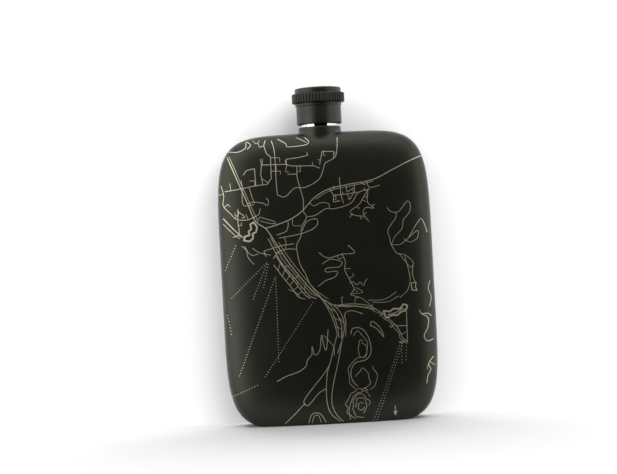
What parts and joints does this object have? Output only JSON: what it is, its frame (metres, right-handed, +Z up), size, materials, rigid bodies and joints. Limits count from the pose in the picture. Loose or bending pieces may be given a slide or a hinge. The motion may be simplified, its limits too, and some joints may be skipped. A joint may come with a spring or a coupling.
{
  "type": "hip flask",
  "caption": "Curved black-coated steel hip flask with a polished neck, a ribbed screw cap, a thread insert and a loose sealing disc.",
  "frame": {"origin": "on the surface that the flask stands on, under the middle of its bounding box; the neck's axis is 1.25 mm in front of it", "axes": "+Z up along the neck, -Y out of the convex engraved front, +X to the right as the front is seen"},
  "size_m": [0.095, 0.0265, 0.1497],
  "materials": {
    "coat": "matte powder coat",
    "cap_coat": "matte powder coat",
    "bare_steel": "polished",
    "liner": "moulded",
    "silicone": "smooth silicone"
  },
  "bodies": {
    "flask": {"front_shell": "coat", "back_shell": "coat", "neck_collar": "coat", "neck": "bare_steel"},
    "seal": {"cap_gasket": "silicone"},
    "cap": {"cap_sleeve": "cap_coat", "grip_ring": "cap_coat", "cap_top": "cap_coat", "thread_insert": "liner"}
  },
  "joints": [
    {"name": "cap_lift", "type": "slide", "parent": "flask", "child": "seal", "axis": [0, 0, 1], "range_m": [0, 0.015]},
    {"name": "cap_turn", "type": "hinge", "parent": "seal", "child": "cap", "pos_m": [0, -0.00125, 0.1332], "axis": [0, 0, 1], "range_deg": [0, 1800]}
  ],
  "couplings": [
    {"joint": "cap_lift", "follows": "cap_turn", "m_per_rad": 0.00047746}
  ]
}
